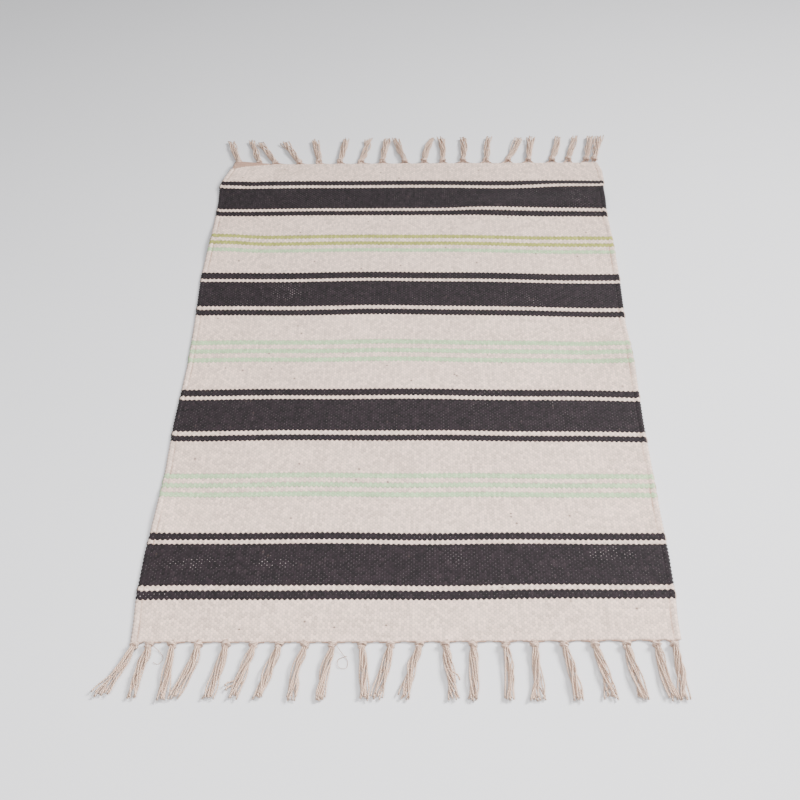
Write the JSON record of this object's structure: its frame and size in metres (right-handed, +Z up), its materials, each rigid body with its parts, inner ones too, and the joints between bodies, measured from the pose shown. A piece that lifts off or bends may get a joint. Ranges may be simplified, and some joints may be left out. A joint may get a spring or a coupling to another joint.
{
  "type": "bath mat",
  "caption": "Flat-woven striped cotton bath mat that folds across its middle, with a fringe of knotted tassels at both ends.",
  "frame": {"origin": "middle of the mat's underside, on the floor", "axes": "+X across the mat, +Y along it from the near end to the far end, +Z up"},
  "size_m": [0.6373, 1.0421, 0.009],
  "materials": {
    "cream_yarn": "matt undyed cotton weft, weft-faced plain weave",
    "charcoal_yarn": "matt dyed cotton weft, weft-faced plain weave",
    "mint_yarn": "matt dyed cotton weft, weft-faced plain weave",
    "lime_yarn": "matt dyed cotton weft, weft-faced plain weave",
    "warp_yarn": "matt undyed plied cotton warp, knotted at the ends",
    "fringe_yarn": "matt undyed plied cotton thread ends, slightly untwisted"
  },
  "bodies": {
    "near_half": {"warp_near": "warp_yarn", "cream_weft_1": "cream_yarn", "charcoal_weft_1": "charcoal_yarn", "cream_weft_2": "cream_yarn", "mint_weft_1": "mint_yarn", "charcoal_weft_2": "charcoal_yarn", "cream_weft_3": "cream_yarn", "mint_weft_2": "mint_yarn"},
    "far_half": {"warp_far": "warp_yarn", "cream_weft_4": "cream_yarn", "charcoal_weft_3": "charcoal_yarn", "cream_weft_5": "cream_yarn", "mint_weft_3": "mint_yarn", "lime_weft_1": "lime_yarn", "charcoal_weft_4": "charcoal_yarn", "cream_weft_6": "cream_yarn"},
    "tassel_near_01": {"tassel_near_01": "fringe_yarn"},
    "tassel_near_02": {"tassel_near_02": "fringe_yarn"},
    "tassel_near_03": {"tassel_near_03": "fringe_yarn"},
    "tassel_near_04": {"tassel_near_04": "fringe_yarn"},
    "tassel_near_05": {"tassel_near_05": "fringe_yarn"},
    "tassel_near_06": {"tassel_near_06": "fringe_yarn"},
    "tassel_near_07": {"tassel_near_07": "fringe_yarn"},
    "tassel_near_08": {"tassel_near_08": "fringe_yarn"},
    "tassel_near_09": {"tassel_near_09": "fringe_yarn"},
    "tassel_near_10": {"tassel_near_10": "fringe_yarn"},
    "tassel_near_11": {"tassel_near_11": "fringe_yarn"},
    "tassel_near_12": {"tassel_near_12": "fringe_yarn"},
    "tassel_near_13": {"tassel_near_13": "fringe_yarn"},
    "tassel_near_14": {"tassel_near_14": "fringe_yarn"},
    "tassel_near_15": {"tassel_near_15": "fringe_yarn"},
    "tassel_near_16": {"tassel_near_16": "fringe_yarn"},
    "tassel_near_17": {"tassel_near_17": "fringe_yarn"},
    "tassel_near_18": {"tassel_near_18": "fringe_yarn"},
    "tassel_near_19": {"tassel_near_19": "fringe_yarn"},
    "tassel_near_20": {"tassel_near_20": "fringe_yarn"},
    "tassel_near_21": {"tassel_near_21": "fringe_yarn"},
    "tassel_far_01": {"tassel_far_01": "fringe_yarn"},
    "tassel_far_02": {"tassel_far_02": "fringe_yarn"},
    "tassel_far_03": {"tassel_far_03": "fringe_yarn"},
    "tassel_far_04": {"tassel_far_04": "fringe_yarn"},
    "tassel_far_05": {"tassel_far_05": "fringe_yarn"},
    "tassel_far_06": {"tassel_far_06": "fringe_yarn"},
    "tassel_far_07": {"tassel_far_07": "fringe_yarn"},
    "tassel_far_08": {"tassel_far_08": "fringe_yarn"},
    "tassel_far_09": {"tassel_far_09": "fringe_yarn"},
    "tassel_far_10": {"tassel_far_10": "fringe_yarn"},
    "tassel_far_11": {"tassel_far_11": "fringe_yarn"},
    "tassel_far_12": {"tassel_far_12": "fringe_yarn"},
    "tassel_far_13": {"tassel_far_13": "fringe_yarn"},
    "tassel_far_14": {"tassel_far_14": "fringe_yarn"},
    "tassel_far_15": {"tassel_far_15": "fringe_yarn"},
    "tassel_far_16": {"tassel_far_16": "fringe_yarn"},
    "tassel_far_17": {"tassel_far_17": "fringe_yarn"},
    "tassel_far_18": {"tassel_far_18": "fringe_yarn"},
    "tassel_far_19": {"tassel_far_19": "fringe_yarn"}
  },
  "joints": [
    {"name": "fold", "type": "hinge", "parent": "near_half", "child": "far_half", "pos_m": [0, 0.058, 0.00655], "axis": [1, 0, 0], "range_deg": [0, 179.5]},
    {"name": "tassel_near_01_swing", "type": "hinge", "parent": "near_half", "child": "tassel_near_01", "pos_m": [-0.2931, -0.455, 0.0045], "axis": [1, 0, 0], "range_deg": [-150, 90]},
    {"name": "tassel_near_02_swing", "type": "hinge", "parent": "near_half", "child": "tassel_near_02", "pos_m": [-0.2769, -0.455, 0.0045], "axis": [1, 0, 0], "range_deg": [-150, 90]},
    {"name": "tassel_near_03_swing", "type": "hinge", "parent": "near_half", "child": "tassel_near_03", "pos_m": [-0.252, -0.455, 0.0045], "axis": [1, 0, 0], "range_deg": [-150, 90]},
    {"name": "tassel_near_04_swing", "type": "hinge", "parent": "near_half", "child": "tassel_near_04", "pos_m": [-0.2229, -0.455, 0.0045], "axis": [1, 0, 0], "range_deg": [-150, 90]},
    {"name": "tassel_near_05_swing", "type": "hinge", "parent": "near_half", "child": "tassel_near_05", "pos_m": [-0.1929, -0.455, 0.0045], "axis": [1, 0, 0], "range_deg": [-150, 90]},
    {"name": "tassel_near_06_swing", "type": "hinge", "parent": "near_half", "child": "tassel_near_06", "pos_m": [-0.1629, -0.455, 0.0045], "axis": [1, 0, 0], "range_deg": [-150, 90]},
    {"name": "tassel_near_07_swing", "type": "hinge", "parent": "near_half", "child": "tassel_near_07", "pos_m": [-0.135, -0.455, 0.0045], "axis": [1, 0, 0], "range_deg": [-150, 90]},
    {"name": "tassel_near_08_swing", "type": "hinge", "parent": "near_half", "child": "tassel_near_08", "pos_m": [-0.1071, -0.455, 0.0045], "axis": [1, 0, 0], "range_deg": [-150, 90]},
    {"name": "tassel_near_09_swing", "type": "hinge", "parent": "near_half", "child": "tassel_near_09", "pos_m": [-0.0771, -0.455, 0.0045], "axis": [1, 0, 0], "range_deg": [-150, 90]},
    {"name": "tassel_near_10_swing", "type": "hinge", "parent": "near_half", "child": "tassel_near_10", "pos_m": [-0.045, -0.455, 0.0045], "axis": [1, 0, 0], "range_deg": [-150, 90]},
    {"name": "tassel_near_11_swing", "type": "hinge", "parent": "near_half", "child": "tassel_near_11", "pos_m": [-0.0141, -0.455, 0.0045], "axis": [1, 0, 0], "range_deg": [-150, 90]},
    {"name": "tassel_near_12_swing", "type": "hinge", "parent": "near_half", "child": "tassel_near_12", "pos_m": [0.0171, -0.455, 0.0045], "axis": [1, 0, 0], "range_deg": [-150, 90]},
    {"name": "tassel_near_13_swing", "type": "hinge", "parent": "near_half", "child": "tassel_near_13", "pos_m": [0.045, -0.455, 0.0045], "axis": [1, 0, 0], "range_deg": [-150, 90]},
    {"name": "tassel_near_14_swing", "type": "hinge", "parent": "near_half", "child": "tassel_near_14", "pos_m": [0.075, -0.455, 0.0045], "axis": [1, 0, 0], "range_deg": [-150, 90]},
    {"name": "tassel_near_15_swing", "type": "hinge", "parent": "near_half", "child": "tassel_near_15", "pos_m": [0.1101, -0.455, 0.0045], "axis": [1, 0, 0], "range_deg": [-150, 90]},
    {"name": "tassel_near_16_swing", "type": "hinge", "parent": "near_half", "child": "tassel_near_16", "pos_m": [0.141, -0.455, 0.0045], "axis": [1, 0, 0], "range_deg": [-150, 90]},
    {"name": "tassel_near_17_swing", "type": "hinge", "parent": "near_half", "child": "tassel_near_17", "pos_m": [0.1731, -0.455, 0.0045], "axis": [1, 0, 0], "range_deg": [-150, 90]},
    {"name": "tassel_near_18_swing", "type": "hinge", "parent": "near_half", "child": "tassel_near_18", "pos_m": [0.2061, -0.455, 0.0045], "axis": [1, 0, 0], "range_deg": [-150, 90]},
    {"name": "tassel_near_19_swing", "type": "hinge", "parent": "near_half", "child": "tassel_near_19", "pos_m": [0.24, -0.455, 0.0045], "axis": [1, 0, 0], "range_deg": [-150, 90]},
    {"name": "tassel_near_20_swing", "type": "hinge", "parent": "near_half", "child": "tassel_near_20", "pos_m": [0.2721, -0.455, 0.0045], "axis": [1, 0, 0], "range_deg": [-150, 90]},
    {"name": "tassel_near_21_swing", "type": "hinge", "parent": "near_half", "child": "tassel_near_21", "pos_m": [0.291, -0.455, 0.0045], "axis": [1, 0, 0], "range_deg": [-150, 90]},
    {"name": "tassel_far_01_swing", "type": "hinge", "parent": "far_half", "child": "tassel_far_01", "pos_m": [-0.2799, 0.455, 0.0045], "axis": [-1, 0, 0], "range_deg": [-150, 90]},
    {"name": "tassel_far_02_swing", "type": "hinge", "parent": "far_half", "child": "tassel_far_02", "pos_m": [-0.2469, 0.455, 0.0045], "axis": [-1, 0, 0], "range_deg": [-150, 90]},
    {"name": "tassel_far_03_swing", "type": "hinge", "parent": "far_half", "child": "tassel_far_03", "pos_m": [-0.2211, 0.455, 0.0045], "axis": [-1, 0, 0], "range_deg": [-150, 90]},
    {"name": "tassel_far_04_swing", "type": "hinge", "parent": "far_half", "child": "tassel_far_04", "pos_m": [-0.1821, 0.455, 0.0045], "axis": [-1, 0, 0], "range_deg": [-150, 90]},
    {"name": "tassel_far_05_swing", "type": "hinge", "parent": "far_half", "child": "tassel_far_05", "pos_m": [-0.15, 0.455, 0.0045], "axis": [-1, 0, 0], "range_deg": [-150, 90]},
    {"name": "tassel_far_06_swing", "type": "hinge", "parent": "far_half", "child": "tassel_far_06", "pos_m": [-0.1161, 0.455, 0.0045], "axis": [-1, 0, 0], "range_deg": [-150, 90]},
    {"name": "tassel_far_07_swing", "type": "hinge", "parent": "far_half", "child": "tassel_far_07", "pos_m": [-0.0819, 0.455, 0.0045], "axis": [-1, 0, 0], "range_deg": [-150, 90]},
    {"name": "tassel_far_08_swing", "type": "hinge", "parent": "far_half", "child": "tassel_far_08", "pos_m": [-0.0471, 0.455, 0.0045], "axis": [-1, 0, 0], "range_deg": [-150, 90]},
    {"name": "tassel_far_09_swing", "type": "hinge", "parent": "far_half", "child": "tassel_far_09", "pos_m": [-0.0111, 0.455, 0.0045], "axis": [-1, 0, 0], "range_deg": [-150, 90]},
    {"name": "tassel_far_10_swing", "type": "hinge", "parent": "far_half", "child": "tassel_far_10", "pos_m": [0.0201, 0.455, 0.0045], "axis": [-1, 0, 0], "range_deg": [-150, 90]},
    {"name": "tassel_far_11_swing", "type": "hinge", "parent": "far_half", "child": "tassel_far_11", "pos_m": [0.0501, 0.455, 0.0045], "axis": [-1, 0, 0], "range_deg": [-150, 90]},
    {"name": "tassel_far_12_swing", "type": "hinge", "parent": "far_half", "child": "tassel_far_12", "pos_m": [0.0831, 0.455, 0.0045], "axis": [-1, 0, 0], "range_deg": [-150, 90]},
    {"name": "tassel_far_13_swing", "type": "hinge", "parent": "far_half", "child": "tassel_far_13", "pos_m": [0.12, 0.455, 0.0045], "axis": [-1, 0, 0], "range_deg": [-150, 90]},
    {"name": "tassel_far_14_swing", "type": "hinge", "parent": "far_half", "child": "tassel_far_14", "pos_m": [0.1551, 0.455, 0.0045], "axis": [-1, 0, 0], "range_deg": [-150, 90]},
    {"name": "tassel_far_15_swing", "type": "hinge", "parent": "far_half", "child": "tassel_far_15", "pos_m": [0.1881, 0.455, 0.0045], "axis": [-1, 0, 0], "range_deg": [-150, 90]},
    {"name": "tassel_far_16_swing", "type": "hinge", "parent": "far_half", "child": "tassel_far_16", "pos_m": [0.2259, 0.455, 0.0045], "axis": [-1, 0, 0], "range_deg": [-150, 90]},
    {"name": "tassel_far_17_swing", "type": "hinge", "parent": "far_half", "child": "tassel_far_17", "pos_m": [0.252, 0.455, 0.0045], "axis": [-1, 0, 0], "range_deg": [-150, 90]},
    {"name": "tassel_far_18_swing", "type": "hinge", "parent": "far_half", "child": "tassel_far_18", "pos_m": [0.2811, 0.455, 0.0045], "axis": [-1, 0, 0], "range_deg": [-150, 90]},
    {"name": "tassel_far_19_swing", "type": "hinge", "parent": "far_half", "child": "tassel_far_19", "pos_m": [0.294, 0.455, 0.0045], "axis": [-1, 0, 0], "range_deg": [-150, 90]}
  ]
}
